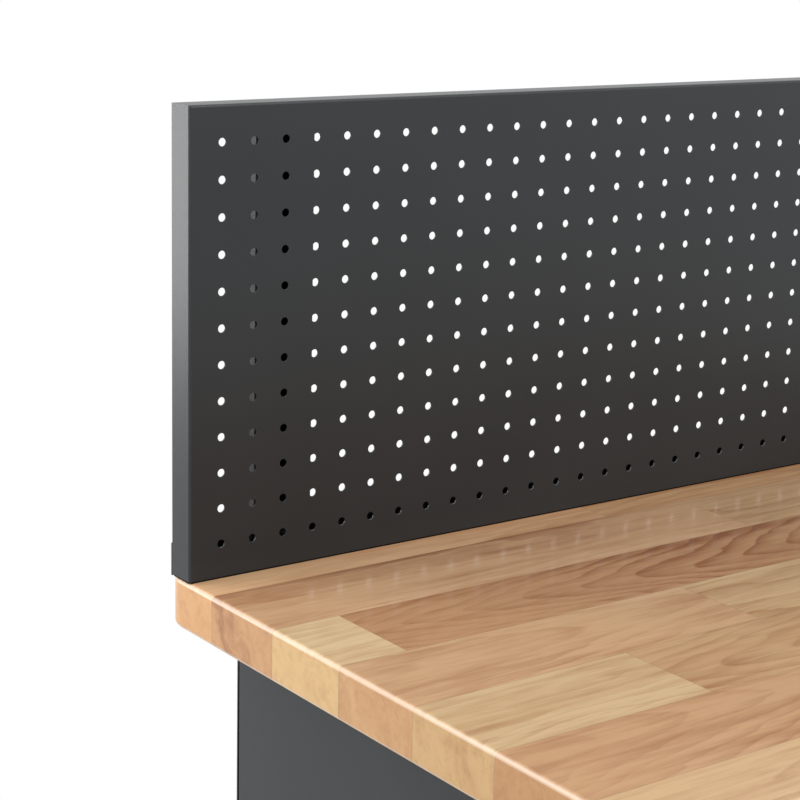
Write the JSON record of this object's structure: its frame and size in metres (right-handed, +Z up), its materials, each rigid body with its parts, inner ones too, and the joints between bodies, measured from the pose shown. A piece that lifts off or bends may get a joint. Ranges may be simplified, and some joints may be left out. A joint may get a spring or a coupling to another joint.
{
  "type": "workbench with pegboard",
  "caption": "Drawer workbench with a lacquered wooden top, a perforated steel back panel that takes hooks, full-width pulls on telescopic slides and one lock for the drawers.",
  "frame": {"origin": "on the floor, below the middle of the wooden top", "axes": "+X along the bench to the right as one stands at it, +Y to the rear, +Z up"},
  "size_m": [0.9144, 0.508, 1.2442],
  "materials": {
    "wooden_top": "satin clear lacquer",
    "panel_paint": "semi-gloss powder coat",
    "cabinet_paint": "semi-gloss powder coat",
    "drawer_paint": "semi-gloss powder coat",
    "pulls": "brushed and anodised",
    "zinc": "bright zinc plate",
    "fasteners": "zinc plate",
    "lock": "bright",
    "foot_plastic": "matt moulded"
  },
  "bodies": {
    "bench": {"worktop": "wooden_top", "wood_screws": "fasteners", "panel_bolts": "fasteners", "side_panel_left": "cabinet_paint", "side_panel_right": "cabinet_paint", "back_panel": "cabinet_paint", "base_pan": "cabinet_paint", "lock_rail": "cabinet_paint", "legs": "cabinet_paint", "foot_caps": "foot_plastic", "slide_uprights": "cabinet_paint", "slide_outer_rails": "zinc", "pegboard_panel": "panel_paint", "pegboard_stiffeners": "panel_paint", "pegboard_foot_rail": "panel_paint", "lock_housing": "lock", "lock_guides": "zinc"},
    "lock_core": {"lock_plug": "lock", "lock_rod": "zinc"},
    "lock_bar": {"lock_bar": "zinc"},
    "drawer_1": {"drawer_1": "drawer_paint", "drawer_1_pull": "pulls", "drawer_1_inner_rails": "zinc"},
    "drawer_1_middle_rails": {"drawer_1_middle_rails": "zinc"},
    "drawer_2": {"drawer_2": "drawer_paint", "drawer_2_pull": "pulls", "drawer_2_inner_rails": "zinc"},
    "drawer_2_middle_rails": {"drawer_2_middle_rails": "zinc"},
    "drawer_3": {"drawer_3": "drawer_paint", "drawer_3_pull": "pulls", "drawer_3_inner_rails": "zinc"},
    "drawer_3_middle_rails": {"drawer_3_middle_rails": "zinc"},
    "drawer_4": {"drawer_4": "drawer_paint", "drawer_4_pull": "pulls", "drawer_4_inner_rails": "zinc"},
    "drawer_4_middle_rails": {"drawer_4_middle_rails": "zinc"},
    "drawer_5": {"drawer_5": "drawer_paint", "drawer_5_pull": "pulls", "drawer_5_inner_rails": "zinc"},
    "drawer_5_middle_rails": {"drawer_5_middle_rails": "zinc"}
  },
  "joints": [
    {"name": "drawer_1_slide", "type": "slide", "parent": "bench", "child": "drawer_1", "axis": [0, -1, 0], "range_m": [0, 0.38]},
    {"name": "drawer_1_extend", "type": "slide", "parent": "bench", "child": "drawer_1_middle_rails", "axis": [0, -1, 0], "range_m": [0, 0.19]},
    {"name": "drawer_2_slide", "type": "slide", "parent": "bench", "child": "drawer_2", "axis": [0, -1, 0], "range_m": [0, 0.38]},
    {"name": "drawer_2_extend", "type": "slide", "parent": "bench", "child": "drawer_2_middle_rails", "axis": [0, -1, 0], "range_m": [0, 0.19]},
    {"name": "drawer_3_slide", "type": "slide", "parent": "bench", "child": "drawer_3", "axis": [0, -1, 0], "range_m": [0, 0.38]},
    {"name": "drawer_3_extend", "type": "slide", "parent": "bench", "child": "drawer_3_middle_rails", "axis": [0, -1, 0], "range_m": [0, 0.19]},
    {"name": "drawer_4_slide", "type": "slide", "parent": "bench", "child": "drawer_4", "axis": [0, -1, 0], "range_m": [0, 0.38]},
    {"name": "drawer_4_extend", "type": "slide", "parent": "bench", "child": "drawer_4_middle_rails", "axis": [0, -1, 0], "range_m": [0, 0.19]},
    {"name": "drawer_5_slide", "type": "slide", "parent": "bench", "child": "drawer_5", "axis": [0, -1, 0], "range_m": [0, 0.38]},
    {"name": "drawer_5_extend", "type": "slide", "parent": "bench", "child": "drawer_5_middle_rails", "axis": [0, -1, 0], "range_m": [0, 0.19]},
    {"name": "lock_turn", "type": "hinge", "parent": "bench", "child": "lock_core", "pos_m": [0.3, -0.235, 0.8555], "axis": [0, -1, 0], "range_deg": [0, 90]},
    {"name": "lock_lift", "type": "slide", "parent": "bench", "child": "lock_bar", "axis": [0, 0, 1], "range_m": [0, 0.006]}
  ],
  "couplings": [
    {"joint": "drawer_1_extend", "follows": "drawer_1_slide", "ratio": 0.5},
    {"joint": "drawer_2_extend", "follows": "drawer_2_slide", "ratio": 0.5},
    {"joint": "drawer_3_extend", "follows": "drawer_3_slide", "ratio": 0.5},
    {"joint": "drawer_4_extend", "follows": "drawer_4_slide", "ratio": 0.5},
    {"joint": "drawer_5_extend", "follows": "drawer_5_slide", "ratio": 0.5},
    {"joint": "lock_turn", "follows": "lock_lift", "rad_per_m": 261.8}
  ]
}
